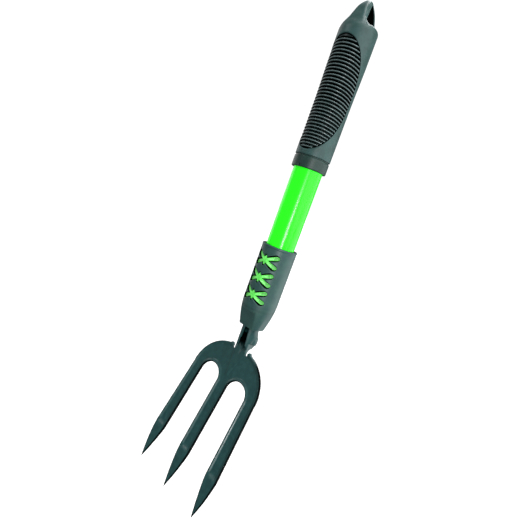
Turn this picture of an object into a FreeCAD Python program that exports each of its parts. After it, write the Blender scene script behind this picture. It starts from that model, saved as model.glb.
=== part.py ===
import FreeCAD, Part
import math
import os

import Sketcher
from FreeCAD import Placement, Rotation, Vector

# A three-tine garden hand fork with a moulded grip, hung up by the hole in its grip.
# The frame: +Z runs up the shaft, the fork's hollow side faces -Y, and the origin is
# the middle of the hang hole. Heights are in millimetres from that origin.
DIMENSIONS = {
    "axis_line": 0.0,
    # Shaft tube
    "tube_radius": 12.5,
    "tube_wall": 1.2,
    "tube_top": -22.0,
    "tube_bottom": -250.0,
    "slip_gap": 0.05,
    # Grip body, a round barrel with a bevelled rim and a tapered hang loop above it
    "grip_base": -116.1,
    "grip_radius": 15.1,
    "waist_top": -72.0,
    "swell_base": -36.0,
    "swell_radius": 15.6,
    "rim_base": -14.1,
    "rim_middle": -12.1,
    "rim_middle_radius": 14.8,
    "ledge_height": -11.3,
    "ledge_radius": 13.0,
    "loop_root": -16.0,
    "loop_foot": 11.3,
    "loop_foot_height": -10.0,
    "loop_throat": 9.6,
    "loop_throat_height": -4.7,
    "loop_front": 9.2,
    "loop_bend": 1.6,
    "loop_nose": 5.7,
    "loop_crown": 6.6,
    "loop_top": 10.2,
    "loop_top_front": 1.6,
    "loop_top_back": 2.6,
    "loop_heel": 4.4,
    "loop_heel_height": 8.6,
    "loop_tail": 7.9,
    "loop_tail_height": 3.8,
    "loop_back": 8.9,
    "loop_back_height": -4.0,
    "loop_half_width": 9.5,
    "loop_half_width_top": 2.3,
    "hole_base": -9.3,
    "hole_front": 7.9,
    "hole_back": 6.9,
    "hole_knee": 5.8,
    "hole_knee_height": 3.0,
    "hole_apex": 6.8,
    "hole_apex_front": 1.0,
    "hole_apex_back": 2.9,
    # Ribbed rubber panel let into the front of the grip
    "panel_middle": -67.6,
    "panel_outline_radius": 68.0,
    "panel_reach_back": 1.9,
    "panel_floor": 13.7,
    "panel_web": 14.4,
    "panel_gap": 0.02,
    "rib_pitch": 2.69,
    "rib_count": 28.0,
    "groove_width": 1.5,
    "rib_tilt": 13.0,
    "rib_base": -105.9,
    # Collar ring that closes the lower end of the grip
    "collar_top": -116.8,
    "collar_bottom": -126.5,
    "collar_radius": 14.9,
    "collar_groove_radius": 14.2,
    "collar_notch_width": 1.6,
    "collar_notch_height": 2.4,
    "collar_notch_depth": 0.9,
    # Ferrule, the sleeve over the lower end of the tube
    "ferrule_top": -194.6,
    "ferrule_bottom": -269.6,
    "ferrule_radius": 15.5,
    "ferrule_lip_radius": 15.7,
    "ferrule_lip": 1.6,
    "ferrule_taper_top": -252.5,
    "ferrule_end_radius": 11.4,
    "ferrule_liner_top": -199.0,
    "ferrule_liner_bottom": -247.0,
    "flat_top": -253.5,
    "flat_top_reach": 12.6,
    "flat_end_reach": 8.6,
    "side_flat_top": -256.0,
    "side_flat_top_reach": 14.3,
    "side_flat_end_reach": 10.4,
    # Lace-shaped windows in the ferrule and the green insert behind them
    "window_top_height": -207.5,
    "window_pitch": 15.8,
    "window_count": 3.0,
    "petal_length": 12.2,
    "petal_angle": 25.0,
    "petal_tip_radius": 2.35,
    "petal_neck_radius": 1.25,
    "window_edge_gap": 0.6,
    "liner_radius": 13.4,
    "lace_radius": 15.2,
    # Fork head, one pressing: rolled tang and neck, shoulders and three tines
    "tang_radius": 7.6,
    "tang_wall": 2.4,
    "tang_top": -214.0,
    "neck_way_bottom": -281.0,
    "mouth_reach": 6.0,
    "mouth_bend": -268.0,
    "mouth_end_reach": 2.2,
    "head_room": 40.0,
    "neck_flare_top": -275.0,
    "neck_flare_bottom": -284.5,
    "neck_flare_radius": 11.2,
    "head_height": -286.2,
    "head_forward": 1.6,
    "head_pitch": 16.8,
    "head_thickness": 2.5,
    "shoulder_radius": 33.4,
    "shoulder_start": 5.6,
    "shoulder_start_width": 7.4,
    "shoulder_width": 39.5,
    "shoulder_depth": 40.0,
    "slot_depth": 41.5,
    "slot_inner": 6.2,
    "slot_outer": 28.2,
    "tine_bend": 105.0,
    "tine_outer_at_bend": 43.2,
    "tine_inner_at_bend": 30.5,
    "tine_half_width": 6.3,
    "tine_mid_depth": 122.0,
    "tine_mid_outer": 41.8,
    "tine_mid_inner": 33.7,
    "tine_mid_half": 4.3,
    "tip_depth": 140.4,
    "tip_offset": 38.2,
    "centre_tip_depth": 142.0,
    "tip_blunt": 0.35,
    "tongue_top": 2.0,
    "slot_end_radius": 11.1,
    "point_radius": 70.0,
    "trough_top": 8.0,
    "trough_length": 30.0,
    "thin_start": 108.0,
    "thin_end": 143.0,
    "tip_thickness": 0.9,
    "groove_length": 22.0,
    "trough_radius": 8.8,
    "dish_radius": 8.0,
    "dish_depth": 0.8,
    "dish_top": -38.0,
    "dish_bottom": -110.0,
    "dish_lean": 2.6,
    "dish_offset": 37.0,
    # Hidden bush and cross pin that hold the tang in the tube
    "bush_top": -208.0,
    "bush_bottom": -249.5,
    "pin_radius": 2.0,
    "pin_height": -232.0,
    "pin_half_length": 12.2,
}

CLEAR = 60.0          # further out than any surface of the tool, for cutting solids
FULL_TURN = 360.0

doc = FreeCAD.newDocument("hand_fork")
sheet = doc.addObject("Spreadsheet::Sheet", "Dims")
finished = []         # the sub-parts, each with its own label
FRONT = Rotation(Vector(1, 0, 0), 90)          # sketch plane XZ, normal towards -Y
SIDE = Rotation(Vector(1, 1, 1), 120)          # sketch plane YZ, normal towards +X


def fill_sheet():
    """Write every driving dimension as text beside its name."""
    for row, (alias, number) in enumerate(DIMENSIONS.items(), start=1):
        sheet.set("A%d" % row, alias)
        sheet.set("B%d" % row, str(number))
        sheet.setAlias("B%d" % row, alias)
    doc.recompute()


def amount(text):
    """Add up a sum of sheet names such as "tube_radius - tube_wall"."""
    total = 0.0
    sign = 1.0
    for word in text.split():
        if word in ("+", "-"):
            sign = 1.0 if word == "+" else -1.0
        else:
            total += sign * sheet.get(word)
            sign = 1.0
    return total


def formula(text):
    """Turn the same sum into an expression on the sheet."""
    words = [word if word in ("+", "-") else "Dims." + word for word in text.split()]
    return " ".join(words)


def bind(thing, **sizes):
    """Bind properties of an object to sums of sheet names."""
    for name, text in sizes.items():
        thing.setExpression(name, formula(text))
    return thing


def cylinder(name, radius, base, top):
    """An upright cylinder on the tool's axis between two heights."""
    solid = doc.addObject("Part::Cylinder", name)
    bind(solid, Radius=radius, Height="%s - %s" % (top, base))
    solid.setExpression("Placement.Base.z", formula(base))
    return solid


def cone(name, low_radius, high_radius, base, top):
    """An upright cone on the tool's axis between two heights."""
    solid = doc.addObject("Part::Cone", name)
    bind(solid, Radius1=low_radius, Radius2=high_radius, Height="%s - %s" % (top, base))
    solid.setExpression("Placement.Base.z", formula(base))
    return solid


def cut(name, base, tool):
    """Take one object out of another."""
    result = doc.addObject("Part::Cut", name)
    result.Base = base
    result.Tool = tool
    return result


def fuse(name, *solids):
    """Join objects into one solid."""
    result = doc.addObject("Part::MultiFuse", name)
    result.Shapes = list(solids)
    return result


def common(name, *solids):
    """Keep what all the objects share."""
    result = doc.addObject("Part::MultiCommon", name)
    result.Shapes = list(solids)
    return result


def outline(name, rotation, points):
    """A closed sketch through points whose coordinates are sums of sheet names.

    A point is (across, up), reached by a line, or (across, up, radius, turn), reached by
    an arc that turns left if turn is 1 and right if it is -1.
    """
    sketch = doc.addObject("Sketcher::SketchObject", name)
    sketch.Placement = Placement(Vector(0, 0, 0), rotation)
    places = [Vector(amount(p[0]), amount(p[1]), 0) for p in points]
    for number, point in enumerate(points):
        start = places[number - 1]
        end = places[number]
        if len(point) == 2:
            sketch.addGeometry(Part.LineSegment(start, end), False)
            pin_corner(sketch, number, 2, point)
        else:
            radius = point[3] * amount(point[2])
            clockwise = add_arc(sketch, start, end, radius)
            pin_corner(sketch, number, 1 if clockwise else 2, point)
            size = Sketcher.Constraint("Radius", number, abs(radius))
            hold(sketch, size, point[2])
    for number, point in enumerate(points):
        last = (number - 1) % len(points)
        join = Sketcher.Constraint("Coincident", last, end_of(points, places, last),
                                   number, start_of(points, places, number))
        sketch.addConstraint(join)
    return sketch


def is_clockwise(point):
    """Whether an outline's arc runs clockwise from its start to its end."""
    return len(point) > 2 and point[3] < 0


def end_of(points, places, number):
    """The sketch's number for the end of an outline's edge (arcs count anticlockwise)."""
    return 1 if is_clockwise(points[number]) else 2


def start_of(points, places, number):
    """The sketch's number for the start of an outline's edge."""
    return 2 if is_clockwise(points[number]) else 1


def add_arc(sketch, start, end, radius):
    """Add an arc of the given radius, turning left if positive and right if negative."""
    chord = end - start
    middle = (start + end) * 0.5
    rise = math.sqrt(max(radius * radius - chord.Length ** 2 / 4, 0))
    left = Vector(-chord.y, chord.x, 0).normalize()
    centre = middle + left * math.copysign(rise, radius)
    first, last = (end, start) if radius < 0 else (start, end)
    angles = [math.atan2(p.y - centre.y, p.x - centre.x) for p in (first, last)]
    circle = Part.Circle(centre, Vector(0, 0, 1), abs(radius))
    sketch.addGeometry(Part.ArcOfCircle(circle, angles[0], angles[1]), False)
    return radius < 0


def pin_corner(sketch, edge, end, point):
    """Tie one end of an edge to its two coordinates."""
    hold(sketch, Sketcher.Constraint("DistanceX", -1, 1, edge, end, amount(point[0])), point[0])
    hold(sketch, Sketcher.Constraint("DistanceY", -1, 1, edge, end, amount(point[1])), point[1])


def hold(sketch, constraint, text):
    """Add a dimension to a sketch and bind it to the sheet."""
    index = sketch.addConstraint(constraint)
    sketch.setExpression("Constraints[%d]" % index, formula(text))


def revolve(name, points):
    """Turn a half outline, drawn in the XZ plane, about the tool's axis."""
    solid = doc.addObject("Part::Revolution", name)
    solid.Source = outline(name + "_profile", FRONT, points)
    solid.Axis = Vector(0, 0, 1)
    solid.Angle = FULL_TURN
    solid.Solid = True
    return solid


def extrude(name, sketch, direction, forward, backward=0.0):
    """Push a sketch along a direction, and backwards too if asked."""
    solid = doc.addObject("Part::Extrusion", name)
    solid.Base = sketch
    solid.DirMode = "Custom"
    solid.Dir = direction
    solid.LengthFwd = forward
    solid.LengthRev = backward
    solid.Solid = True
    return solid


def through_sides(name, points):
    """A prism along X, both ways out of the tool, from an outline in the YZ plane."""
    return extrude(name, outline(name + "_outline", SIDE, points), Vector(1, 0, 0), CLEAR, CLEAR)


def through_front(name, points):
    """A prism along Y, both ways out of the tool, from an outline in the XZ plane."""
    return extrude(name, outline(name + "_outline", FRONT, points), Vector(0, 1, 0), CLEAR, CLEAR)


def finish(label, thing):
    """Give a finished sub-part its own label."""
    thing.Label = label
    finished.append(thing)



def make_tube():
    """The painted steel tube, with the cross pin's hole."""
    outer = cylinder("tube_outer", "tube_radius", "tube_bottom", "tube_top")
    bore = cylinder("tube_bore", "tube_radius - tube_wall", "tube_bottom", "tube_top")
    finish("shaft_tube", cut("tube_pinned", cut("tube", outer, bore), pin_hole("tube_pin_hole")))


def pin_hole(name):
    """The cross pin's hole, right through along X with a little clearance."""
    hole = doc.addObject("Part::Cylinder", name)
    bind(hole, Radius="pin_radius + slip_gap")
    hole.Height = 2 * CLEAR
    hole.Placement = Placement(Vector(-CLEAR, 0, 0), Rotation(Vector(0, 1, 0), 90))
    hole.setExpression("Placement.Base.z", formula("pin_height"))
    return hole


def make_pin():
    """The rivet that ties tube, bush and tang together under the ferrule."""
    pin = doc.addObject("Part::Cylinder", "pin")
    bind(pin, Radius="pin_radius", Height="pin_half_length + pin_half_length")
    pin.Placement = Placement(Vector(0, 0, 0), Rotation(Vector(0, 1, 0), 90))
    pin.setExpression("Placement.Base.x", formula("- pin_half_length"))
    pin.setExpression("Placement.Base.z", formula("pin_height"))
    finish("tang_pin", pin)


def make_bush():
    """The plastic bush between the tang and the tube's bore."""
    outer = cylinder("bush_outer", "tube_radius - tube_wall - slip_gap", "bush_bottom", "bush_top")
    bore = cylinder("bush_bore", "tang_radius + slip_gap", "bush_bottom", "tang_top")
    finish("tang_bush", cut("bush_pinned", cut("bush", outer, bore), pin_hole("bush_pin_hole")))


def grip_barrel(name):
    """The grip's round outside, from its base up to the ledge under the loop."""
    return revolve(name, [
        ("axis_line", "grip_base"),
        ("grip_radius", "grip_base"),
        ("grip_radius", "waist_top"),
        ("swell_radius", "swell_base"),
        ("swell_radius", "rim_base"),
        ("rim_middle_radius", "rim_middle"),
        ("ledge_radius", "ledge_height"),
        ("axis_line", "ledge_height"),
    ])


def hang_loop():
    """The tapered loop above the grip, pierced from side to side."""
    side_view = through_sides("loop_side_view", [
        ("loop_back", "loop_root"),
        ("loop_back", "loop_back_height"),
        ("loop_tail", "loop_tail_height"),
        ("loop_heel", "loop_heel_height"),
        ("loop_top_back", "loop_top"),
        ("- loop_top_front", "loop_top"),
        ("- loop_nose", "loop_crown"),
        ("- loop_front", "loop_bend"),
        ("- loop_throat", "loop_throat_height"),
        ("- loop_foot", "loop_foot_height"),
        ("- loop_foot", "loop_root"),
    ])
    front_view = through_front("loop_front_view", [
        ("- loop_half_width", "loop_root"),
        ("loop_half_width", "loop_root"),
        ("loop_half_width", "ledge_height"),
        ("loop_half_width_top", "loop_top"),
        ("- loop_half_width_top", "loop_top"),
        ("- loop_half_width", "ledge_height"),
    ])
    return common("loop", side_view, front_view)


def hang_hole():
    """The loop's three-cornered hole, right through from side to side."""
    return through_sides("hang_hole", [
        ("- hole_front", "hole_base"),
        ("hole_back", "hole_base"),
        ("hole_knee", "hole_knee_height"),
        ("hole_apex_back", "hole_apex"),
        ("hole_apex_front", "hole_apex"),
    ])


def panel_region(name, gap):
    """A wide cylinder across the grip: where it crosses the barrel, the panel ends."""
    region = doc.addObject("Part::Cylinder", name)
    bind(region, Radius="panel_outline_radius" + gap)
    region.Height = 2 * CLEAR
    region.Placement = Placement(Vector(-CLEAR, 0, 0), Rotation(Vector(0, 1, 0), 90))
    region.setExpression("Placement.Base.y", formula("panel_reach_back - panel_outline_radius"))
    region.setExpression("Placement.Base.z", formula("panel_middle"))
    return region


def make_grip():
    """The moulded grip: barrel, bevelled rim, loop, tube socket and panel seat."""
    whole = fuse("barrel_and_loop", grip_barrel("barrel"), hang_loop())
    pierced = cut("pierced_grip", whole, hang_hole())
    socket = cylinder("tube_socket", "tube_radius + slip_gap", "grip_base", "tube_top")
    hollow = cut("hollow_grip", pierced, socket)
    core = cylinder("seat_core", "panel_floor", "grip_base", "rim_base")
    seat = cut("panel_seat", panel_region("seat_region", ""), core)
    finish("grip_body", cut("seated_grip", hollow, seat))


def make_panel():
    """The rubber panel: a thin web with ridges, cut by one tilted groove many times."""
    region = panel_region("panel_region", " - panel_gap")
    core = cylinder("panel_core", "panel_floor + panel_gap", "grip_base", "rim_base")
    skin = cut("panel_skin", common("panel_blank", region, grip_barrel("panel_barrel")), core)
    web = cylinder("panel_web_core", "panel_web", "grip_base", "rim_base")
    finish("grip_panel", cut("ribbed_panel", skin, cut("groove_rings", groove_slabs(), web)))


def groove_slabs():
    """Tilted slabs, one for each groove, evenly spaced up the panel."""
    slabs = []
    for number in range(int(amount("rib_count")) - 1):
        slab = doc.addObject("Part::Box", "groove_%d" % (number + 1))
        slab.Length = CLEAR
        slab.Width = CLEAR
        bind(slab, Height="groove_width")
        slab.Placement = Placement(Vector(-CLEAR / 2, 0, 0), Rotation())
        centre = "Dims.rib_base + %d * Dims.rib_pitch" % number
        slab.setExpression("Placement.Rotation.Axis.x", "1")
        slab.setExpression("Placement.Rotation.Axis.z", "0")
        slab.setExpression("Placement.Rotation.Angle", "-Dims.rib_tilt")
        slab.setExpression("Placement.Base.y", "-%g * cos(Dims.rib_tilt)" % (CLEAR / 2))
        slab.setExpression("Placement.Base.z", "%s + %g * sin(Dims.rib_tilt)" % (centre, CLEAR / 2))
        slabs.append(slab)
    return fuse("groove_slabs", *slabs)


def make_collar():
    """The ring that closes the grip's lower end, with a thin groove above it."""
    ring = revolve("collar_ring", [
        ("tube_radius + slip_gap", "collar_bottom"),
        ("collar_radius", "collar_bottom"),
        ("collar_radius", "collar_top"),
        ("collar_groove_radius", "collar_top"),
        ("collar_groove_radius", "grip_base"),
        ("tube_radius + slip_gap", "grip_base"),
    ])
    notch = doc.addObject("Part::Box", "collar_notch")
    bind(notch, Length="collar_notch_width", Width="collar_radius", Height="collar_notch_height")
    notch.setExpression("Placement.Base.x", "-Dims.collar_notch_width / 2")
    notch.setExpression("Placement.Base.y", formula("collar_notch_depth - collar_radius - collar_radius"))
    notch.setExpression("Placement.Base.z", formula("collar_bottom"))
    finish("grip_collar", cut("notched_collar", ring, notch))


def make_ferrule():
    """The sleeve over the tube's lower end: lip, windows, tapered end and its flats."""
    outside = revolve("ferrule_outside", [
        ("axis_line", "ferrule_bottom"),
        ("ferrule_end_radius", "ferrule_bottom"),
        ("ferrule_radius", "ferrule_taper_top"),
        ("ferrule_radius", "ferrule_top - ferrule_lip"),
        ("ferrule_lip_radius", "ferrule_top - ferrule_lip"),
        ("ferrule_lip_radius", "ferrule_top"),
        ("axis_line", "ferrule_top"),
    ])
    socket = cylinder("ferrule_socket", "tube_radius + slip_gap", "tube_bottom - slip_gap", "ferrule_top")
    chamber = cylinder("liner_chamber", "liner_radius + slip_gap",
                       "ferrule_liner_bottom", "ferrule_liner_top")
    tang_way = cylinder("tang_way", "tang_radius + slip_gap", "ferrule_bottom", "ferrule_top")
    hollows = fuse("ferrule_hollows", socket, chamber, tang_way, front_flat(), side_flat(1), side_flat(-1))
    windows = petals("ferrule_windows", 0.0)
    finish("ferrule", cut("windowed_ferrule", cut("hollow_ferrule", outside, hollows), windows))


def front_flat():
    """What the flat on the front of the ferrule's taper takes away."""
    return through_sides("front_flat", [
        ("- flat_top_reach", "flat_top"),
        ("- flat_end_reach", "ferrule_bottom"),
        ("- flat_end_reach - tube_radius", "ferrule_bottom"),
        ("- flat_end_reach - tube_radius", "flat_top"),
    ])


def side_flat(side):
    """What the flat on one side of the ferrule's taper takes away."""
    sign = "" if side > 0 else "- "
    away = " + tube_radius" if side > 0 else " - tube_radius"
    name = "right_flat" if side > 0 else "left_flat"
    return through_front(name, [
        (sign + "side_flat_top_reach", "side_flat_top"),
        (sign + "side_flat_end_reach", "ferrule_bottom"),
        (sign + "side_flat_end_reach" + away, "ferrule_bottom"),
        (sign + "side_flat_end_reach" + away, "side_flat_top"),
    ])


def petals(name, inset):
    """Prisms towards the front in the shape of each lace crossing, drawn in by inset.

    Each crossing is four tapered petals that leave one centre at a shallow angle.
    """
    shapes = []
    for window in range(int(amount("window_count"))):
        height = amount("window_top_height") - window * amount("window_pitch")
        for across in (-1, 1):
            for along in (-1, 1):
                shapes.append(petal(height, across, along, inset))
    joined = doc.addObject("Part::Feature", name)
    joined.Shape = shapes[0].multiFuse(shapes[1:]).removeSplitter()
    return joined


def petal(height, across, along, inset):
    """One tapered petal as a prism along -Y: a small circle and a larger one, joined."""
    angle = math.radians(amount("petal_angle"))
    reach = amount("petal_length") - amount("petal_tip_radius")
    neck = amount("petal_neck_radius") - inset
    tip = amount("petal_tip_radius") - inset
    axis = Vector(across * math.cos(angle), 0, along * math.sin(angle))
    side = Vector(-axis.z, 0, axis.x)
    centre = Vector(0, 0, height)
    end = centre + axis * reach
    lean = math.asin((tip - neck) / reach)
    left = side * math.cos(lean) - axis * math.sin(lean)
    right = side * -math.cos(lean) - axis * math.sin(lean)
    edges = [
        Part.makeLine(centre + left * neck, end + left * tip),
        Part.Arc(end + left * tip, end + axis * tip, end + right * tip).toShape(),
        Part.makeLine(end + right * tip, centre + right * neck),
        Part.Arc(centre + right * neck, centre - axis * neck, centre + left * neck).toShape(),
    ]
    return Part.Face(Part.Wire(edges)).extrude(Vector(0, -CLEAR, 0))


def make_lace():
    """The green insert: a thin liner round the tube with crossings raised in the windows."""
    crossings = petals("lace_petals", amount("window_edge_gap"))
    raised = common("raised_lace", crossings,
                    cylinder("lace_outer", "lace_radius", "ferrule_liner_bottom", "ferrule_liner_top"))
    liner = cylinder("liner_outer", "liner_radius", "ferrule_liner_bottom", "ferrule_liner_top")
    bore = cylinder("liner_bore", "tube_radius + slip_gap", "ferrule_liner_bottom", "ferrule_liner_top")
    finish("lace_insert", cut("lace", fuse("lace_on_liner", liner, raised), bore))


def head_plate():
    """The flat of the head in its own frame: shoulders and three tines, one thickness."""
    right = [
        ("shoulder_start_width", "tongue_top"),
        ("shoulder_start_width", "- shoulder_start"),
        ("shoulder_width", "- shoulder_depth", "shoulder_radius", -1),
        ("tine_outer_at_bend", "- tine_bend"),
        ("tine_mid_outer", "- tine_mid_depth", "point_radius", -1),
        ("tip_offset + tip_blunt", "- tip_depth"),
        ("tip_offset - tip_blunt", "- tip_depth"),
        ("tine_mid_inner", "- tine_mid_depth"),
        ("tine_inner_at_bend", "- tine_bend", "point_radius", -1),
        ("slot_outer", "- slot_depth"),
        ("slot_inner", "- slot_depth", "slot_end_radius", 1),
        ("tine_half_width", "- tine_bend"),
        ("tine_mid_half", "- tine_mid_depth", "point_radius", -1),
        ("tip_blunt", "- centre_tip_depth"),
    ]
    sketch = outline("head_outline", FRONT, right + mirrored(right))
    plate = extrude("head_sheet", sketch, Vector(0, 1, 0), 0)
    bind(plate, LengthFwd="head_thickness")
    backs = through_sides("tip_backs", [
        ("head_thickness", "- thin_start"),
        ("tip_thickness", "- thin_end"),
        ("head_room", "- thin_end"),
        ("head_room", "- thin_start"),
    ])
    return cut("head_flat", plate, backs)


def negated(text):
    """The same sum of sheet names with every sign turned."""
    turned = {"+": "-", "-": "+"}
    words = [turned.get(word, word) for word in text.split()]
    if words[0] in turned:
        return " ".join(words[1:])
    return "- " + " ".join(words)


def mirrored(points):
    """The same run of points on the other side of the middle, walked back the other way."""
    run = []
    arc = ()
    for point in reversed(points):
        run.append((negated(point[0]), point[1]) + arc)
        arc = point[2:]
    return run


def trough(name, radius, top, length):
    """A cone lying along the head's middle, widest at the neck."""
    solid = doc.addObject("Part::Cone", name)
    solid.Radius1 = 0
    bind(solid, Radius2=radius, Height=top + " + " + length)
    solid.setExpression("Placement.Base.z", formula("- " + length))
    return solid


def pitched(thing):
    """Set an object made in the head's own frame into place under the neck."""
    thing.setExpression("Placement.Rotation.Axis.x", "1")
    thing.setExpression("Placement.Rotation.Axis.z", "0")
    thing.setExpression("Placement.Rotation.Angle", "-Dims.head_pitch")
    thing.setExpression("Placement.Base.y", formula("- head_forward"))
    thing.setExpression("Placement.Base.z", formula("head_height"))
    return thing


def dish(name, side):
    """What makes one tine's front hollow: a long thin cylinder that leans with the tine."""
    solid = doc.addObject("Part::Cylinder", name)
    bind(solid, Radius="dish_radius", Height="dish_top - dish_bottom")
    solid.Placement = Placement(Vector(0, 0, 0), Rotation())
    solid.setExpression("Placement.Rotation.Axis.y", "1")
    solid.setExpression("Placement.Rotation.Axis.z", "0")
    solid.setExpression("Placement.Rotation.Angle", "%d * Dims.dish_lean" % -side)
    solid.setExpression("Placement.Base.x", "%d * Dims.dish_offset" % side)
    solid.setExpression("Placement.Base.y", formula("dish_depth - dish_radius"))
    solid.setExpression("Placement.Base.z", formula("dish_bottom"))
    return solid


def space_ahead():
    """Everything in front of the head's face, in the head's own frame."""
    box = doc.addObject("Part::Box", "ahead_of_head")
    box.Length = 2 * CLEAR
    box.Width = CLEAR
    box.Height = 2 * CLEAR
    box.Placement = Placement(Vector(-CLEAR, -CLEAR, -CLEAR), Rotation())
    return box


def rolled_neck():
    """The tang and neck, rolled from the sheet, open in front and flared at the head."""
    tang = cylinder("tang_outer", "tang_radius", "neck_flare_top", "tang_top")
    flare = cone("flare_outer", "neck_flare_radius", "tang_radius", "neck_flare_bottom", "neck_flare_top")
    bore = cylinder("tang_bore", "tang_radius - tang_wall", "neck_flare_top", "tang_top")
    throat = cone("flare_inner", "neck_flare_radius - tang_wall", "tang_radius - tang_wall",
                  "neck_flare_bottom", "neck_flare_top")
    mouth = through_sides("neck_mouth", [
        ("- mouth_reach", "tang_top"),
        ("- mouth_reach", "mouth_bend"),
        ("mouth_end_reach", "neck_flare_bottom"),
        ("- head_room", "neck_flare_bottom"),
        ("- head_room", "tang_top"),
    ])
    return cut("rolled_neck", fuse("neck_outer", tang, flare), fuse("neck_inner", bore, throat, mouth))


def make_head():
    """The fork: a rolled tang and neck, open in front, that runs out into a flat head."""
    outer = trough("trough_outer", "trough_radius", "trough_top", "trough_length")
    blade = pitched(fuse("blade", head_plate(), cut("trough_bulge", outer, space_ahead())))
    whole = fuse("head_and_neck", rolled_neck(), blade)
    groove = trough("trough_inner", "trough_radius - tang_wall", "trough_top", "groove_length")
    dishes = [dish("left_dish", -1), dish("middle_dish", 0), dish("right_dish", 1)]
    pressed = pitched(fuse("pressed_hollows", groove, *dishes))
    way = cylinder("neck_way", "tang_radius - tang_wall", "neck_way_bottom", "tang_top")
    hollows = fuse("head_hollows", pressed, way, pin_hole("tang_pin_hole"))
    finish("fork_head", cut("fork", whole, hollows))


def check_features():
    """Stop if any feature failed to build."""
    for thing in doc.Objects:
        if "Invalid" in thing.State or "Error" in thing.State:
            raise SystemExit("failed: %s %s" % (thing.Name, thing.State))


def export_parts():
    """Write each finished sub-part to a STEP file under its label."""
    os.makedirs("parts", exist_ok=True)
    for thing in finished:
        shape = thing.Shape
        if shape.isNull() or not shape.isValid() or len(shape.Solids) != 1:
            raise SystemExit("bad shape: %s" % thing.Label)
        shape.exportStep("parts/%s.step" % thing.Label)
        print(thing.Label, round(shape.Volume), shape.BoundBox)


fill_sheet()
make_tube()
make_pin()
make_bush()
make_grip()
make_panel()
make_collar()
make_ferrule()
make_lace()
make_head()
doc.recompute()
check_features()
export_parts()
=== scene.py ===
"""A garden hand fork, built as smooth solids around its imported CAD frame."""

import math

import bpy
import numpy as np
from mathutils import Matrix, Vector


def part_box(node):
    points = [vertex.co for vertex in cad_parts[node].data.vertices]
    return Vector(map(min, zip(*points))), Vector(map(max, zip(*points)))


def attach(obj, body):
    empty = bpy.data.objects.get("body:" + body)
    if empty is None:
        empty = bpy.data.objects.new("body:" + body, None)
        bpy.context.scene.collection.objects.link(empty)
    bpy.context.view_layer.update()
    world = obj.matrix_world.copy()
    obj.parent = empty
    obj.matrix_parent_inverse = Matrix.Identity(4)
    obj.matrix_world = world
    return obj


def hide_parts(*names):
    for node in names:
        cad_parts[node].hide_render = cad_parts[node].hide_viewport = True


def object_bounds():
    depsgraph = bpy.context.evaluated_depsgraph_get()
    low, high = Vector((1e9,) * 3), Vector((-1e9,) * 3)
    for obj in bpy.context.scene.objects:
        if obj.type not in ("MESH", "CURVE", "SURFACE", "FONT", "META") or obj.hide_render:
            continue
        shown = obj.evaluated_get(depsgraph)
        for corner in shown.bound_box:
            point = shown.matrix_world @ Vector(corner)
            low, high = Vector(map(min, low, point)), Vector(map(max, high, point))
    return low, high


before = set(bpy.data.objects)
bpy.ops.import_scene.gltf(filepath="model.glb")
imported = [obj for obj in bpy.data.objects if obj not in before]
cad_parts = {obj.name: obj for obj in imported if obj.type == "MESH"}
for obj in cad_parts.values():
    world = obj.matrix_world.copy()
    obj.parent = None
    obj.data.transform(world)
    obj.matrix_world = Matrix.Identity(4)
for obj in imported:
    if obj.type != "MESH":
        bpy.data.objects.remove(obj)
CAD_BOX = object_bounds()

# Shapes below are worked out in millimetres, in the frame's own axes: the tool stands on
# its Z axis, the fork's hollow side faces -Y, and Z is 0 at the hang hole.
MM = 0.001


def box_mm(node):
    """A CAD node's lowest and highest corners in millimetres."""
    low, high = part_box(node)
    return low / MM, high / MM


TUBE_HIGH = box_mm("shaft_tube")[1]
COLLAR_LOW, COLLAR_HIGH = box_mm("grip_collar")
GRIP_LOW, GRIP_HIGH = box_mm("grip_body")
PANEL_LOW, PANEL_HIGH = box_mm("grip_panel")
FERRULE_LOW, FERRULE_HIGH = box_mm("ferrule")
LACE_LOW, LACE_HIGH = box_mm("lace_insert")
HEAD_HIGH = box_mm("fork_head")[1]
TUBE_RADIUS = TUBE_HIGH.x
SOCKET_RADIUS = TUBE_RADIUS + 0.05


# ---------------------------------------------------------------- solids from distances
# A shape is a function of x, y and z that gives the distance to its surface, negative
# inside. The arrays broadcast, so a shape works on a whole grid or on a list of points.

def join(a, b, soft):
    """Both shapes as one, with a fillet about as wide as soft."""
    overlap = np.maximum(soft - np.abs(a - b), 0) / soft
    return np.minimum(a, b) - overlap * overlap * soft / 4


def both(a, b, soft):
    """What the two shapes share, with its edges rounded over about the width soft."""
    return -join(-a, -b, soft)


def without(a, b, soft):
    """The first shape with the second taken out and the edges rounded."""
    return both(a, -b, soft)


def ramp(value, start, end):
    """0 before start and 1 after end, with a smooth rise between. end may be the lower."""
    share = np.clip((value - start) / (end - start), 0, 1)
    return share * share * (3 - 2 * share)


def blend(start, end, share):
    """A value that lies some share of the way from start to end."""
    return start + (end - start) * share


def beyond_line(u, v, first, second):
    """Distance of (u, v) to the right of the line from first to second."""
    run, rise = second[0] - first[0], second[1] - first[1]
    return ((u - first[0]) * rise - (v - first[1]) * run) / math.hypot(run, rise)


def between(z, low, high):
    """Distance outside the slab between two heights."""
    return np.maximum(low - z, z - high)


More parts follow.
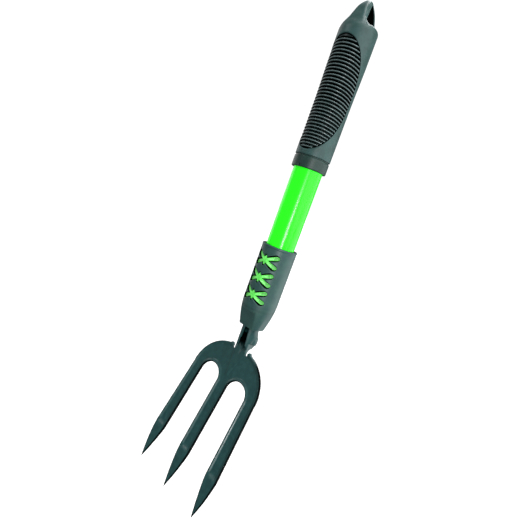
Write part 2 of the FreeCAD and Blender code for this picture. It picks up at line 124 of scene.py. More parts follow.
def surface(shape, low, high, step):
    """Quads over a shape's surface, found on a grid and then moved onto it exactly."""
    axes = [np.arange(a - 2 * step, b + 3 * step, step, np.float32) for a, b in zip(low, high)]
    counts = tuple(len(axis) for axis in axes)
    grid = np.meshgrid(*axes, indexing="ij", sparse=True)
    values = np.broadcast_to(shape(*grid), counts).astype(np.float32)
    inside = values < 0
    spots, rings = [], []
    for axis in range(3):
        lower = tuple(slice(0, -1) if n == axis else slice(None) for n in range(3))
        upper = tuple(slice(1, None) if n == axis else slice(None) for n in range(3))
        node = np.argwhere(inside[lower] != inside[upper])
        unit = np.eye(3, dtype=int)
        start = values[tuple(node.T)]
        end = values[tuple((node + unit[axis]).T)]
        spots.append(node + unit[axis] * (start / (start - end))[:, None])
        second, third = unit[(axis + 1) % 3], unit[(axis + 2) % 3]
        corners = (0 * second, -second, -second - third, -third)
        ring = np.stack([np.ravel_multi_index((node + c).T, counts) for c in corners], 1)
        ring[start > 0] = ring[start > 0][:, ::-1]
        rings.append(ring)
    faces = np.unique(np.concatenate(rings), return_inverse=True)[1].ravel()
    spots = np.repeat(np.concatenate(spots), 4, axis=0)
    uses = np.bincount(faces)
    points = np.stack([np.bincount(faces, spots[:, n]) / uses for n in range(3)], 1)
    points = points * step + [axis[0] for axis in axes]
    return settle(shape, points, step), faces.reshape(-1, 4)


SETTLE_PASSES = 3
LEAST_STEEP = 0.1


def settle(shape, points, step):
    """Points moved along the shape's slope until they lie on its surface."""
    nudge = step / 20
    for _ in range(SETTLE_PASSES):
        value = shape(*points.T)
        slope = np.empty_like(points)
        for axis in range(3):
            shift = np.zeros(3)
            shift[axis] = nudge
            ahead, behind = shape(*(points + shift).T), shape(*(points - shift).T)
            slope[:, axis] = (ahead - behind) / (2 * nudge)
        steep = np.maximum((slope ** 2).sum(1), LEAST_STEEP)
        move = slope * (value / steep)[:, None]
        length = np.linalg.norm(move, axis=1)
        move *= np.minimum(1, step / 2 / np.maximum(length, 1e-9))[:, None]
        points = points - move
    return points


def solid(name, shape, low, high, step, node, look, shade_mask=None, place=None):
    """A piece with a shape's surface, standing for a CAD node.

    The shade function gives 0 to 1 for points in hollows, kept on the mesh for its material,
    which paints shade there.
    """
    points, quads = surface(shape, low, high, step)
    mesh = bpy.data.meshes.new(name)
    mesh.vertices.add(len(points))
    mesh.loops.add(quads.size)
    mesh.polygons.add(len(quads))
    mesh.vertices.foreach_set("co", (points * MM).ravel())
    mesh.loops.foreach_set("vertex_index", quads.ravel())
    mesh.polygons.foreach_set("loop_start", np.arange(0, quads.size, 4))
    mesh.polygons.foreach_set("use_smooth", np.ones(len(quads), bool))
    # How much painted shade each point gets.
    painted_shade = np.zeros(len(points)) if shade_mask is None else shade_mask(*points.T)
    layer = mesh.attributes.new("shade_mask", "FLOAT", "POINT")
    layer.data.foreach_set("value", np.asarray(painted_shade, np.float32))
    mesh.update(calc_edges=True)
    mesh.validate()
    if place is not None:
        mesh.transform(place)
    mesh.materials.append(look)
    piece = bpy.data.objects.new(name, mesh)
    bpy.context.scene.collection.objects.link(piece)
    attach(piece, "root")
    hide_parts(node)


# ---------------------------------------------------------------- materials

def linear(red, green, blue):
    """A colour given as a screen shows it (sRGB, 0 to 255), as the shader wants it."""
    share = [channel / 255 for channel in (red, green, blue)]
    return [c / 12.92 if c < 0.04 else ((c + 0.055) / 1.055) ** 2.4 for c in share] + [1]


def node_of(tree, kind, **sockets):
    """A shader node with some of its sockets set."""
    node = tree.nodes.new("ShaderNode" + kind)
    for name, value in sockets.items():
        node.inputs[name.replace("_", " ")].default_value = value
    return node


NOISE_ROUGHNESS = 0.55


def noise_of(tree, place, size, detail, stretch):
    """Noise whose patches are about size millimetres across, stretched along the axes."""
    mapping = node_of(tree, "Mapping")
    mapping.inputs["Scale"].default_value = [1 / (size * MM * part) for part in stretch]
    noise = node_of(tree, "TexNoise", Scale=1.0, Detail=detail, Roughness=NOISE_ROUGHNESS)
    tree.links.new(place, mapping.inputs["Vector"])
    tree.links.new(mapping.outputs["Vector"], noise.inputs["Vector"])
    return noise.outputs["Fac"]


def ranged(tree, source, start, end, low, high):
    """A value mapped from one range to another."""
    mapped = node_of(tree, "MapRange", From_Min=start, From_Max=end, To_Min=low, To_Max=high)
    tree.links.new(source, mapped.inputs["Value"])
    return mapped.outputs["Result"]


def mixed(tree, share, first, second):
    """Two colours mixed by a value. Each is a list of numbers or another node's output."""
    mix = tree.nodes.new("ShaderNodeMix")
    mix.data_type = "RGBA"
    tree.links.new(share, mix.inputs[0])
    for socket, colour in ((mix.inputs[6], first), (mix.inputs[7], second)):
        if isinstance(colour, list):
            socket.default_value = colour
        else:
            tree.links.new(colour, socket)
    return mix.outputs[2]


# How fine the two noises are, and which part of each one's range the finishes use. The edge
# span does the same for how sharply the surface bends.
CLOUD_DETAIL, GRAIN_DETAIL = 4.0, 2.0
CLOUD_SPAN = 0.36, 0.64
GRAIN_SPAN = 0.3, 0.7
EDGE_SPAN = 0.52, 0.6
BUMP_STRENGTH = 0.6
COAT_ROUGHNESS = 0.08
# How glossy the painted shade in the hollows stays.
SHADE_SPECULAR = 0.02


def finish(name, main, patch, painted_shade, rough, patch_size, grain_size, relief,
           stretch=(1, 1, 1), wear_and_highlight=None, coat=0.0, metal=0.0, specular=0.5, painted_glow=0.0):
    """A surface finish: patchy colour, grainy relief, uneven gloss, painted shade in hollows
    and lighter sharp edges.

    main, patch, the shade colour and the edge colour are colours as a screen shows them. The
    shade colour and a loss of gloss are painted into the hollows that the mesh marks; the edge
    colour is partly wear and partly a painted highlight; and the surface can give off painted
    light of its own. rough is the range of the roughness, and the sizes and the relief are in
    millimetres.
    """
    look = bpy.data.materials.new(name)
    look.use_nodes = True
    tree = look.node_tree
    shader = tree.nodes["Principled BSDF"]
    place = node_of(tree, "TexCoord").outputs["Object"]
    cloud = noise_of(tree, place, patch_size, CLOUD_DETAIL, stretch)
    grain = noise_of(tree, place, grain_size, GRAIN_DETAIL, stretch)
    share = ranged(tree, cloud, *CLOUD_SPAN, 0, 1)
    colour = mixed(tree, share, linear(*main), linear(*patch))
    # Sharp edges turn lighter: partly wear, partly a painted highlight.
    if wear_and_highlight is not None:
        edge = tree.nodes.new("ShaderNodeNewGeometry").outputs["Pointiness"]
        colour = mixed(tree, ranged(tree, edge, *EDGE_SPAN, 0, 1), colour, linear(*wear_and_highlight))
    # Painted shade: the colour turns to the shade colour where the mesh marks a hollow.
    shade_mask = tree.nodes.new("ShaderNodeAttribute")
    shade_mask.attribute_name = "shade_mask"
    colour = mixed(tree, shade_mask.outputs["Fac"], colour, linear(*painted_shade))
    tree.links.new(colour, shader.inputs["Base Color"])
    gloss = ranged(tree, grain, *GRAIN_SPAN, *rough)
    tree.links.new(gloss, shader.inputs["Roughness"])
    bump = node_of(tree, "Bump", Strength=BUMP_STRENGTH, Distance=relief * MM)
    tree.links.new(grain, bump.inputs["Height"])
    tree.links.new(bump.outputs["Normal"], shader.inputs["Normal"])
    shader.inputs["Coat Roughness"].default_value = COAT_ROUGHNESS
    shader.inputs["Metallic"].default_value = metal
    # The painted shade also takes most of the gloss out of the hollows.
    tree.links.new(ranged(tree, shade_mask.outputs["Fac"], 0, 1, specular, SHADE_SPECULAR),
                   shader.inputs["Specular IOR Level"])
    # Painted light: a surface can give off light of its own colour, though it is no lamp. It
    # fades out in the painted shade of the hollows, and so does the coat.
    tree.links.new(colour, shader.inputs["Emission Color"])
    for strength, socket in ((coat, "Coat Weight"), (painted_glow, "Emission Strength")):
        if strength:
            tree.links.new(ranged(tree, shade_mask.outputs["Fac"], 0, 1, strength, 0),
                           shader.inputs[socket])
    return look


# In each finish below, the dark colour is painted shade for hollows, and the edge colour is
# partly wear and partly a painted highlight.
GRIP_LOOK = finish(
    "grip_plastic", main=(50, 85, 83), patch=(40, 71, 68), painted_shade=(2, 4, 4),
    wear_and_highlight=(84, 118, 116), rough=(0.38, 0.5), patch_size=9.0, grain_size=0.7, relief=0.05)
COLLAR_LOOK = finish(
    "collar_plastic", main=(32, 62, 56), patch=(25, 53, 47), painted_shade=(8, 14, 14),
    wear_and_highlight=(78, 108, 104), rough=(0.36, 0.46), patch_size=6.0, grain_size=0.7, relief=0.04)
# The ribs' grey is a painted sheen on black rubber, and their grooves take near-black painted
# shade.
RIB_LOOK = finish(
    "ribbed_rubber", main=(110, 131, 131), patch=(86, 107, 107), painted_shade=(0, 2, 2),
    rough=(0.22, 0.32), patch_size=5.0, grain_size=0.5, relief=0.012, specular=0.9)
FERRULE_LOOK = finish(
    "ferrule_plastic", main=(51, 88, 82), patch=(42, 77, 76), painted_shade=(3, 7, 6),
    wear_and_highlight=(72, 108, 104), rough=(0.36, 0.48), patch_size=7.0, grain_size=0.7, relief=0.05)
# The lacing gives off a little light of its own, painted light that brightens its green.
LACE_LOOK = finish(
    "lace_plastic", main=(120, 250, 112), patch=(102, 228, 94), painted_shade=(2, 14, 4),
    rough=(0.25, 0.4), patch_size=3.0, grain_size=0.6, relief=0.03, painted_glow=0.22)
# The tube gives off a little light of its own too, painted light that brightens its green.
TUBE_LOOK = finish(
    "tube_enamel", main=(44, 250, 30), patch=(36, 246, 24), painted_shade=(40, 200, 30),
    rough=(0.2, 0.28), patch_size=14.0, grain_size=1.2, relief=0.01, stretch=(1, 1, 6),
    coat=0.1, specular=0.35, painted_glow=0.45)
HEAD_LOOK = finish(
    "head_enamel", main=(30, 74, 73), patch=(23, 63, 63), painted_shade=(1, 4, 4),
    wear_and_highlight=(72, 108, 108), rough=(0.3, 0.42), patch_size=4.0, grain_size=0.8, relief=0.05,
    coat=0.25, specular=0.45)
BUSH_LOOK = finish(
    "bush_plastic", main=(40, 44, 44), patch=(30, 34, 34), painted_shade=(10, 10, 10),
    rough=(0.5, 0.6), patch_size=5.0, grain_size=0.6, relief=0.04)
PIN_LOOK = finish(
    "pin_steel", main=(170, 172, 174), patch=(150, 152, 156), painted_shade=(40, 40, 40),
    rough=(0.25, 0.4), patch_size=3.0, grain_size=0.4, relief=0.02, metal=1.0)


# ---------------------------------------------------------------- grip

GRIP_RADIUS = 15.1
SWELL_RADIUS = GRIP_HIGH.x
SWELL_FROM, SWELL_TO = -72.0, -36.0
LEDGE = -11.3
LOOP_TOP = GRIP_HIGH.z
LOOP_ROOT_HALF, LOOP_TOP_HALF = 9.5, 2.3
FLANK_LEAN = 0.95

# Corners of the hang loop seen from the side, as y and z, from the foot of its front over
# the top to its back.
LOOP_FOOT, LOOP_SHOULDER = (-10.7, -10.0), (-9.3, 1.6)
LOOP_NOSE, LOOP_BROW = (-9.2, 1.6), (-5.7, 6.6)
LOOP_CREST, LOOP_CREST_END = (-1.6, LOOP_TOP), (2.6, LOOP_TOP)
LOOP_HEEL, LOOP_TAIL = (4.4, 8.6), (7.9, 3.8)
LOOP_BACK, LOOP_BOTTOM = 8.6, -16.0

HOLE_FLOOR, HOLE_ROOF = -9.3, 6.8
HOLE_FRONT, HOLE_CREST = (-7.9, HOLE_FLOOR), (1.0, HOLE_ROOF)
HOLE_BACK, HOLE_BEND, HOLE_TIP = (6.9, HOLE_FLOOR), (5.8, 3.0), (2.9, HOLE_ROOF)

# The fillet between barrel and loop, and the barrel's rounded top, at the back and in front.
FILLET_BACK, FILLET_FRONT = 1.0, 8.0
CROWN_BACK, CROWN_FRONT = 2.6, 6.0

# The ribbed panel's outline, how far down the panel and its seat reach, and the gap they
# leave, which is split between the two.
PANEL_ROUND = 68.0
SEAT_FLOOR, PANEL_FLOOR = 13.6, 12.9
SEAT_GAP, PANEL_GAP = 0.1, 0.15


def barrel_radius(z):
    """The grip's radius, which swells a little towards the top."""
    return blend(GRIP_RADIUS, SWELL_RADIUS, ramp(z, SWELL_FROM, SWELL_TO))


def loop_half(z):
    """Half the loop's width at a height."""
    share = np.maximum(z - LEDGE, 0) / (LOOP_TOP - LEDGE)
    return blend(LOOP_ROOT_HALF, LOOP_TOP_HALF, share)


def loop(x, y, z):
    """The tapered hang loop, a tongue whose front is well rounded."""
    front = -beyond_line(y, z, LOOP_FOOT, LOOP_SHOULDER)
    nose = -beyond_line(y, z, LOOP_NOSE, LOOP_BROW)
    crest = -beyond_line(y, z, LOOP_BROW, LOOP_CREST)
    heel = beyond_line(y, z, LOOP_HEEL, LOOP_CREST_END)
    tail = -beyond_line(y, z, LOOP_HEEL, LOOP_TAIL)
    outline = both(both(front, nose, 4.0), both(crest, z - LOOP_TOP, 1.5), 2.5)
    outline = both(both(outline, heel, 1.0), both(tail, y - LOOP_BACK, 3.0), 1.5)
    edge = 2.0 + 1.8 * ramp(-y, 0.0, 6.0) * (1 - ramp(z, -3.0, 7.0))
    flank = (np.abs(x) - loop_half(z)) * FLANK_LEAN
    return both(both(outline, flank, edge), LOOP_BOTTOM - z, 1.0)


def hole(y, z):
    """The loop's three-cornered hole, seen from the side."""
    front = beyond_line(y, z, HOLE_FRONT, HOLE_CREST)
    back = beyond_line(y, z, HOLE_BACK, HOLE_BEND)
    tip = beyond_line(y, z, HOLE_BEND, HOLE_TIP)
    opening = both(both(-front, z - HOLE_ROOF, 0.6), HOLE_FLOOR - z, 1.0)
    return both(opening, both(back, tip, 2.0), 1.0)


def panel_edge(y, z):
    """Distance outside the ribbed panel's outline, a wide circle seen from the side."""
    middle = (PANEL_LOW.z + PANEL_HIGH.z) / 2
    return np.hypot(y - (PANEL_HIGH.y - PANEL_ROUND), z - middle) - PANEL_ROUND


def grip(x, y, z):
    """The grip moulding."""
    radius = np.hypot(x, y)
    in_front = ramp(-y, 3.0, 11.0)
    top = join(z - LEDGE, loop(x, y, z), blend(FILLET_BACK, FILLET_FRONT, in_front))
    side = radius - barrel_radius(z)
    body = both(side, top, blend(CROWN_BACK, CROWN_FRONT, in_front))
    body = both(body, GRIP_LOW.z - z, 0.6)
    body = without(body, hole(y, z), 0.8)
    socket = both(radius - SOCKET_RADIUS, z - TUBE_HIGH.z, 0.2)
    body = without(body, socket, 0.4)
    seat = both(panel_edge(y, z) - SEAT_GAP, SEAT_FLOOR - radius, 0.2)
    return without(body, seat, 0.35)


def grip_painted_shade(x, y, z):
    """Painted shade: how far into the hang hole, or down the wall of the panel's seat, a point
    lies, which the material darkens.
    """
    in_hole = ramp(-hole(y, z), -0.5, -0.05) * ramp(loop_half(z) - np.abs(x), 0.1, 0.8)
    depth = barrel_radius(z) - np.hypot(x, y)
    in_seat = ramp(0.5 - np.abs(panel_edge(y, z)), 0.0, 0.3) * ramp(depth, 0.15, 0.4)
    return np.maximum(in_hole, in_seat)


RIB_PITCH = 2.69
RIB_COUNT = 32
RIB_HALF = 0.52
RIB_SLOPE = math.tan(math.radians(10.0))
FIRST_RIB = -112.46
WEB_DEPTH, SMOOTH_DEPTH = 1.5, 0.5


def rib_distance(y, z):
    """Distance along the grip to the middle of the nearest rib. The ribs lean with y."""
    along = z + RIB_SLOPE * y - FIRST_RIB
    number = np.clip(np.round(along / RIB_PITCH), 0, RIB_COUNT - 1)
    return np.abs(along - number * RIB_PITCH)


def smooth_end(y, z):
    """1 where the panel has no ribs, in the crescents past the first and the last one."""
    return ramp(rib_distance(y, z), RIB_PITCH * 0.55, RIB_PITCH * 0.8)


def ribbed_panel(x, y, z):
    """The rubber panel: a web with round-topped ribs, and a smooth end above and below."""
    radius = np.hypot(x, y)
    gap = rib_distance(y, z)
    top = radius - barrel_radius(z)
    web = top + blend(WEB_DEPTH, SMOOTH_DEPTH, smooth_end(y, z))
    rib = both(top, gap - RIB_HALF, 1.0)
    body = join(web, rib, 0.5)
    body = both(body, panel_edge(y, z) + PANEL_GAP, 0.5)
    return both(body, PANEL_FLOOR - radius, 0.2)


def rib_painted_shade(x, y, z):
    """Painted shade: how far below the ribs' tops a point lies, with painted shade on the
    smooth ends as well.
    """
    depth = barrel_radius(z) - np.hypot(x, y)
    return np.maximum(ramp(depth, 0.15, 0.8), 0.85 * smooth_end(y, z))


GROOVE_WIDTH, GROOVE_DEPTH = 1.0, 0.8
NOTCH_HALF, NOTCH_HEIGHT, NOTCH_FLOOR = 0.8, 2.4, 13.6


def collar(x, y, z):
    """The ring below the grip, with a thin groove above it and a notch in front."""
    radius = np.hypot(x, y)
    side = radius - COLLAR_HIGH.x
    ring = both(side, between(z, COLLAR_LOW.z, COLLAR_HIGH.z - GROOVE_WIDTH), 1.0)
    groove = both(side + GROOVE_DEPTH, between(z, COLLAR_LOW.z + 1, COLLAR_HIGH.z), 0.1)
    body = join(ring, groove, 0.2)
    notch = both(np.abs(x) - NOTCH_HALF, z - COLLAR_LOW.z - NOTCH_HEIGHT, 0.3)
    body = without(body, both(notch, y + NOTCH_FLOOR, 0.3), 0.3)
    return without(body, radius - SOCKET_RADIUS, 0.4)


# ---------------------------------------------------------------- ferrule and lace

BODY_RADIUS = 15.5
LIP_HEIGHT = 1.6
TAPER_TOP = -252.5
END_RADIUS = 11.4
WINDOW_TOP = -207.5
WINDOW_PITCH = 15.8
WINDOW_COUNT = 3
PETAL_ANGLE = math.radians(25.0)
PETAL_REACH = 9.9
PETAL_NECK, PETAL_TIP = 1.9, 2.6
SPUR_REACH = 4.0
SPUR_HALF = 2.2
GAP = 0.7
LACE_RADIUS, LINER_RADIUS = -LACE_LOW.y, 13.4

# The flats on the tapered end: where they begin, and how far out they lie there and below.
FRONT_FLAT_TOP, FRONT_FLAT_REACH, FRONT_FLAT_END = -253.5, 12.6, 8.6
SIDE_FLAT_TOP, SIDE_FLAT_REACH, SIDE_FLAT_END = -256.0, 14.4, 10.7
SOCKET_FLOOR = -250.05
NECK_WAY = 7.65


def crossing(x, z):
    """Distance outside a lace crossing, four petals and two short upright spurs."""
    number = np.clip(np.round((WINDOW_TOP - z) / WINDOW_PITCH), 0, WINDOW_COUNT - 1)
    across, up = np.abs(x), np.abs(z - WINDOW_TOP + number * WINDOW_PITCH)
    cosine, sine = math.cos(PETAL_ANGLE), math.sin(PETAL_ANGLE)
    along = np.clip(across * cosine + up * sine, 0, PETAL_REACH)
    swell = ramp(along / PETAL_REACH, 0.1, 0.9)
    petal = np.hypot(across - along * cosine, up - along * sine)
    petal = petal - blend(PETAL_NECK, PETAL_TIP, swell)
    upright = np.clip(up, 0, SPUR_REACH)
    thin = np.hypot(across, up - upright) - SPUR_HALF * (1 - 0.5 * upright / SPUR_REACH)
    return join(petal, thin, 0.8)


def ferrule(x, y, z):
    """The sleeve: lip, three windows, a tapered end with flats in front and at the sides."""
    radius = np.hypot(x, y)
    taper = beyond_line(radius, z, (BODY_RADIUS, TAPER_TOP), (END_RADIUS, FERRULE_LOW.z))
    body = both(radius - BODY_RADIUS, -taper, 2.0)
    lip = both(radius - FERRULE_HIGH.x, FERRULE_HIGH.z - LIP_HEIGHT - z, 0.3)
    body = join(body, lip, 0.3)
    body = both(body, between(z, FERRULE_LOW.z, FERRULE_HIGH.z), 0.6)
    front = beyond_line(-y, z, (FRONT_FLAT_REACH, FRONT_FLAT_TOP),
                        (FRONT_FLAT_END, FERRULE_LOW.z))
    body = without(body, both(front, z - FRONT_FLAT_TOP, 0.5), 0.5)
    side = beyond_line(np.abs(x), z, (SIDE_FLAT_REACH, SIDE_FLAT_TOP),
                       (SIDE_FLAT_END, FERRULE_LOW.z))
    body = without(body, both(side, z - SIDE_FLAT_TOP, 0.5), 0.25)
    window = both(crossing(x, z), y + 2.0, 0.3)
    window = both(window, LINER_RADIUS + 0.05 - radius, 0.2)
    body = without(body, window, 0.4)
    socket = both(radius - SOCKET_RADIUS, SOCKET_FLOOR - z, 0.2)
    body = without(body, socket, 0.3)
    return without(body, radius - NECK_WAY, 0.4)


def ferrule_painted_shade(x, y, z):
    """Painted shade: how far into a window a point lies, which the material darkens."""
    return ramp(BODY_RADIUS - np.hypot(x, y), 0.15, 0.7) * ramp(z, TAPER_TOP, TAPER_TOP + 3)


def lace(x, y, z):
    """The green moulding: a liner with crossings that stand up in the windows."""
    radius = np.hypot(x, y)
    inset = -(crossing(x, z) + GAP)
    rise = (LACE_RADIUS - LINER_RADIUS) * ramp(inset, 0.0, 0.45)
    dimple = 0.3 * ramp(inset, 0.4, 1.2) * ramp(np.abs(x), 2.6, 5.0)
    dimple = dimple + 1.3 * ramp(np.abs(x), 2.2, 7.5)
    front = ramp(-y, 0.0, 3.0)
    body = radius - LINER_RADIUS - (rise - dimple) * front
    body = both(body, between(z, LACE_LOW.z, LACE_HIGH.z), 0.3)
    return without(body, radius - SOCKET_RADIUS, 0.1)


def lace_painted_shade(x, y, z):
    """Painted shade: how far down the gap round a crossing a point lies, which the material
    darkens.
    """
    return ramp(LACE_RADIUS - np.hypot(x, y), 1.35, 2.0)


# ---------------------------------------------------------------- fork head

PITCH = math.radians(16.8)
HEAD_Y, HEAD_Z = -1.6, -286.2
HEAD_PLACE = (Matrix.Translation(Vector((0, HEAD_Y, HEAD_Z)) * MM)
              @ Matrix.Rotation(-PITCH, 4, "X"))

# Depths are measured along the sheet, down from its origin at the foot of the neck.
SHEET, RIM = 2.5, 0.8
FRONT_THINS_FROM, FRONT_THINNING = 112.0, 0.045
BACK_THINS_FROM, BACK_THINNING = 108.0, 0.046
EDGE_ROUND, TIP_ROUND = 1.3, 0.3
DISH, DISH_END = 1.25, 104.0
SHOULDER_CENTRE, SHOULDER_DEPTH, SHOULDER_RADIUS = 6.1, 39.0, 33.4
SLOT_CENTRE, SLOT_DEPTH, SLOT_RADIUS = 17.2, 41.5, 11.0
TINE_BEND = 105.0
MIDDLE_HALF, MIDDLE_POINT, MIDDLE_POWER = 6.3, 37.0, 1.48
OUTER_HALF, OUTER_POINT, OUTER_POWER = 5.65, 35.4, 1.385
OUTER_GROWTH = 0.011
OUTER_CENTRE, OUTER_SPREAD = 33.85, 0.047
TIP_BEND, TIP_SPREAD = 125.0, 0.02
EAR_ACROSS, EAR_DEPTH, EAR_RADIUS = 11.8, 7.2, 1.2
EAR_LEAN, EAR_RISE = 0.6, 1.3
CLEFT_ACROSS, CLEFT_TOP, CLEFT_FOOT, CLEFT_RADIUS = 7.8, -1.0, 7.8, 1.2
TONGUE_HALF, TONGUE_TOP, TONGUE_END = 7.4, -2.0, 20.0
BULGE_RADIUS, BULGE_TOP, BULGE_END = 8.8, -8.0, 30.0
TROUGH_TOP, TROUGH_END = -3.0, 11.0

# The neck stands upright, so its heights are the tool's own.
NECK_RADIUS, NECK_WALL = 7.6, 2.4
NECK_END, BORE_END = -290.0, -285.0
FOOT_BEND, FOOT_SLOPE = -2.6, 0.8
FLARE, FLARE_TOP, FLARE_WIDEST, FLARE_END = 2.4, -271.0, -283.0, -291.0
MOUTH_MIDDLE, MOUTH_HALF = 0.8, 2.4
MOUTH_FLARE, MOUTH_TOP, MOUTH_END = 1.0, -270.0, -289.0


def narrowing(down, length, power):
    """What share of its width a tine has left at some depth."""
    return 1 - (np.maximum(down - TINE_BEND, 0) / length) ** power


def ear(across, down):
    """Distance outside the small upturned corner in which each shoulder ends."""
    share = np.clip((EAR_DEPTH - down) / EAR_RISE, 0, 1)
    beside, below = across - EAR_ACROSS + EAR_LEAN * share, down - EAR_DEPTH + EAR_RISE * share
    return np.hypot(beside, below) - EAR_RADIUS


def plan(x, down):
    """Distance outside the head's outline in its own plane."""
    across = np.abs(x)
    middle_half = MIDDLE_HALF * narrowing(down, MIDDLE_POINT, MIDDLE_POWER)
    centre = OUTER_CENTRE + OUTER_SPREAD * (np.minimum(down, TIP_BEND) - SLOT_DEPTH)
    centre = centre + TIP_SPREAD * np.maximum(down - TIP_BEND, 0)
    outer_half = OUTER_HALF + OUTER_GROWTH * (down - SLOT_DEPTH)
    outer_half = outer_half * narrowing(down, OUTER_POINT, OUTER_POWER)
    round_top = np.hypot(np.maximum(across - SHOULDER_CENTRE, 0), down - SHOULDER_DEPTH)
    outside = np.where(down < SHOULDER_DEPTH, round_top - SHOULDER_RADIUS,
                       across - centre - outer_half)
    slot_top = np.hypot(across - SLOT_CENTRE, down - SLOT_DEPTH) - SLOT_RADIUS
    slot_side = np.maximum(middle_half - across, across - centre + outer_half)
    slot = np.where(down < SLOT_DEPTH, slot_top, slot_side)
    return np.maximum(join(outside, ear(across, down), 1.5), -slot)


def cleft(x, down):
    """Distance outside the narrow cleft between the neck and each shoulder."""
    below = down - np.clip(down, CLEFT_TOP, CLEFT_FOOT)
    return np.hypot(np.abs(x) - CLEFT_ACROSS, below) - CLEFT_RADIUS


def upright(y, z):
    """A point of the head's own frame as y and z of the tool."""
    along_y = y * math.cos(PITCH) + z * math.sin(PITCH) + HEAD_Y
    along_z = z * math.cos(PITCH) - y * math.sin(PITCH) + HEAD_Z
    return along_y, along_z


def blade(x, y, down):
    """The dished sheet, thinner towards its tips, and the bulge that runs up to the neck."""
    tongue = both(np.abs(x) - TONGUE_HALF, between(down, TONGUE_TOP, TONGUE_END), 1.0)
    outline = join(plan(x, down), tongue, 1.5)
    dish = DISH * ramp(-outline, 0.7, 3.4) * (1 - ramp(down, DISH_END - 3, DISH_END + 3))
    front = dish - RIM + FRONT_THINNING * np.maximum(down - FRONT_THINS_FROM, 0)
    back = SHEET - BACK_THINNING * np.maximum(down - BACK_THINS_FROM, 0)
    round_over = blend(EDGE_ROUND, TIP_ROUND, ramp(down, 110.0, 138.0))
    plate = both(outline, np.maximum(front - y, y - back), round_over)
    bulge_radius = BULGE_RADIUS * (BULGE_END - down) / (BULGE_END - BULGE_TOP)
    bulge = np.maximum(np.hypot(x, y) - bulge_radius, between(down, BULGE_TOP, BULGE_END + 1))
    return join(plate, both(bulge, front + 0.3 - y, 0.5), 3.0)


def neck(x, y, z):
    """The rolled neck, open in front and flared above its foot, at y and z of the tool."""
    flare = FLARE * ramp(z, FLARE_TOP, FLARE_WIDEST) * ramp(z, FLARE_END, FLARE_WIDEST)
    flare = flare * ramp(y, -3.0, 3.0)
    middle = NECK_RADIUS + flare - NECK_WALL / 2
    wall = np.abs(np.hypot(x, y) - middle) - NECK_WALL / 2
    mouth_half = MOUTH_HALF + MOUTH_FLARE * ramp(z, MOUTH_TOP, MOUTH_END)
    mouth = np.abs(x - MOUTH_MIDDLE) - mouth_half
    body = without(wall, both(mouth, y + 1.0, 0.5), 1.0)
    foot = NECK_END + FOOT_SLOPE * np.maximum(FOOT_BEND - y, 0)
    return both(both(body, foot - z, 1.2), z - HEAD_HIGH.z, 0.5)


def head(x, y, z):
    """The pressing, in its own frame: the sheet's front is at y = 0 and z runs up."""
    down = -z
    upright_y, upright_z = upright(y, z)
    body = join(blade(x, y, down), neck(x, upright_y, upright_z), 1.8)
    bore_radius = NECK_RADIUS - NECK_WALL
    trough_radius = bore_radius * (TROUGH_END - down) / (TROUGH_END - TROUGH_TOP)
    trough = np.hypot(x, y + RIM) - trough_radius
    body = without(body, np.maximum(trough, between(down, TROUGH_TOP, TROUGH_END)), 1.4)
    bore = both(np.hypot(x, upright_y) - bore_radius, BORE_END - upright_z, 1.0)
    body = without(body, bore, 1.0)
    return without(body, cleft(x, down), 0.8)


def head_painted_shade(x, y, z):
    """Painted shade: how far into the neck's channel, or how far round the sheet's edge, a
    point lies; the material darkens both.
    """
    upright_y, upright_z = upright(y, z)
    inside = ramp(NECK_RADIUS - 1.0 - np.hypot(x, upright_y), 0.0, 1.0)
    inside = inside * ramp(upright_y, -5.0, -2.5) * ramp(upright_z, -293.0, -286.0)
    edge = ramp(plan(x, -z), -1.3, -0.5) * ramp(-z, 6.0, 12.0)
    return np.maximum(inside, edge)


def grid_step(step):
    return step


# The space searched for the grip's surface, and for the head's in its own frame.
GRIP_REACH = 15.7
HEAD_GRID = (-44.0, -28.5, -143.0), (44.0, 12.5, 72.5)

solid("grip_moulding", grip, (-GRIP_REACH, -GRIP_REACH, GRIP_LOW.z),
      (GRIP_REACH, GRIP_REACH, LOOP_TOP), grid_step(0.3), "grip_body", GRIP_LOOK, grip_painted_shade)
solid("grip_ribs", ribbed_panel, PANEL_LOW, PANEL_HIGH, grid_step(0.2), "grip_panel", RIB_LOOK,
      rib_painted_shade)
solid("collar_ring", collar, COLLAR_LOW, COLLAR_HIGH, grid_step(0.25), "grip_collar",
      COLLAR_LOOK)
solid("ferrule_sleeve", ferrule, FERRULE_LOW, FERRULE_HIGH, grid_step(0.25), "ferrule",
      FERRULE_LOOK, ferrule_painted_shade)
solid("green_lacing", lace, LACE_LOW, LACE_HIGH, grid_step(0.25), "lace_insert", LACE_LOOK,
      lace_painted_shade)
solid("fork_pressing", head, *HEAD_GRID, grid_step(0.4), "fork_head", HEAD_LOOK, head_painted_shade,
      HEAD_PLACE)

for node, look in (("shaft_tube", TUBE_LOOK), ("tang_bush", BUSH_LOOK), ("tang_pin", PIN_LOOK)):
    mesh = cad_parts[node].data
    mesh.materials.clear()
    mesh.materials.append(look)

# ---------------------------------------------------------------- stage, light and camera

scene = bpy.context.scene
scene.view_settings.view_transform = "Standard"
FLOOR_SIDES, FLOOR_REACH, FLOOR_DROP = 96, 40.0, 0.35
FLOOR_PAINT = (0.93, 0.93, 0.93, 1)


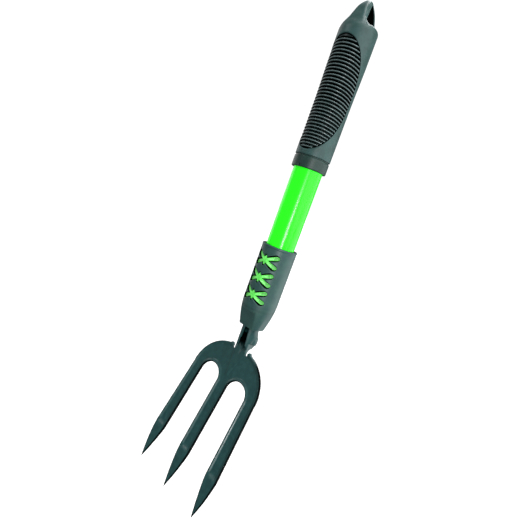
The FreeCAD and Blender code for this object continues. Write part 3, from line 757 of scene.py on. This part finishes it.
def pale_floor():
    """A wide pale disc, some way below the tool."""
    mesh = bpy.data.meshes.new("floor")
    height = CAD_BOX[0].z - FLOOR_DROP
    turns = [2 * math.pi * n / FLOOR_SIDES for n in range(FLOOR_SIDES)]
    rim = [(FLOOR_REACH * math.cos(a), FLOOR_REACH * math.sin(a), height) for a in turns]
    mesh.from_pydata(rim, [], [list(range(FLOOR_SIDES))])
    look = bpy.data.materials.new("floor_paper")
    look.use_nodes = True
    shader = look.node_tree.nodes["Principled BSDF"]
    shader.inputs["Base Color"].default_value = FLOOR_PAINT
    shader.inputs["Roughness"].default_value = 0.9
    mesh.materials.append(look)
    floor = bpy.data.objects.new("floor", mesh)
    scene.collection.objects.link(floor)
    floor.visible_diffuse = False
    floor.visible_glossy = False
    floor.visible_shadow = False


def pale_world(lighting, shown):
    """An even pale surround: its strength as light, and as it shows behind the tool."""
    world = bpy.data.worlds.new("studio")
    world.use_nodes = True
    tree = world.node_tree
    background = tree.nodes["Background"]
    background.inputs["Color"].default_value = (1, 1, 1, 1)
    path = tree.nodes.new("ShaderNodeLightPath")
    level = ranged(tree, path.outputs["Is Camera Ray"], 0, 1, lighting, shown)
    tree.links.new(level, background.inputs["Strength"])
    scene.world = world


def direction(azimuth, elevation):
    """The way to something seen at an azimuth, from -Y towards +X, and an elevation."""
    level = math.cos(elevation)
    ahead = math.sin(azimuth) * level, -math.cos(azimuth) * level
    return Vector((*ahead, math.sin(elevation)))


def soft_light(name, azimuth, elevation, strength, spread):
    """A distant soft light. Its angles are in degrees."""
    lamp = bpy.data.lights.new(name, "SUN")
    lamp.energy = strength
    lamp.angle = math.radians(spread)
    towards = direction(math.radians(azimuth), math.radians(elevation))
    holder = bpy.data.objects.new(name, lamp)
    holder.rotation_mode = "QUATERNION"
    holder.rotation_quaternion = towards.to_track_quat("Z", "Y")
    scene.collection.objects.link(holder)


pale_floor()
pale_world(lighting=0.22, shown=1.1)

# Each light's azimuth and elevation, its strength and how wide it looks.
LIGHTS = {
    "key": (88, 28, 1.95, 70),
    "window": (43, -4, 1.2, 12),
    "top": (60, 75, 1.4, 30),
    "back_top": (205, 58, 2.0, 30),
    "left_rim": (-100, 10, 0.6, 50),
    "right_rim": (140, -15, 1.3, 60),
    "left_front": (-36, 28, 0.35, 16),
}
for name, light in LIGHTS.items():
    soft_light(name, *light)

# Where the camera stands and looks, in metres and radians. Its lens is in millimetres.
AZIMUTH, ELEVATION, ROLL = math.radians(37.76), math.radians(9.0), math.radians(19.68)
DISTANCE = 0.3428
AIM = Vector((-0.0160, 0.0, -0.2127))
NEAR, FAR = 0.01, 100
SENSOR, FOCAL = 36.0, 26.55


def photographer():
    """The camera, turned about its own axis by the roll after it is aimed."""
    back = direction(AZIMUTH, ELEVATION)
    level = Vector((math.cos(AZIMUTH), math.sin(AZIMUTH), 0))
    right = level * math.cos(ROLL) + back.cross(level) * math.sin(ROLL)
    up = back.cross(right)
    lens = bpy.data.cameras.new("camera")
    lens.sensor_width = SENSOR
    lens.lens = FOCAL
    lens.clip_start, lens.clip_end = NEAR, FAR
    camera = bpy.data.objects.new("camera", lens)
    camera.matrix_world = Matrix.Translation(AIM + back * DISTANCE) @ Matrix(
        (right, up, back)).transposed().to_4x4()
    scene.collection.objects.link(camera)
    scene.camera = camera


photographer()
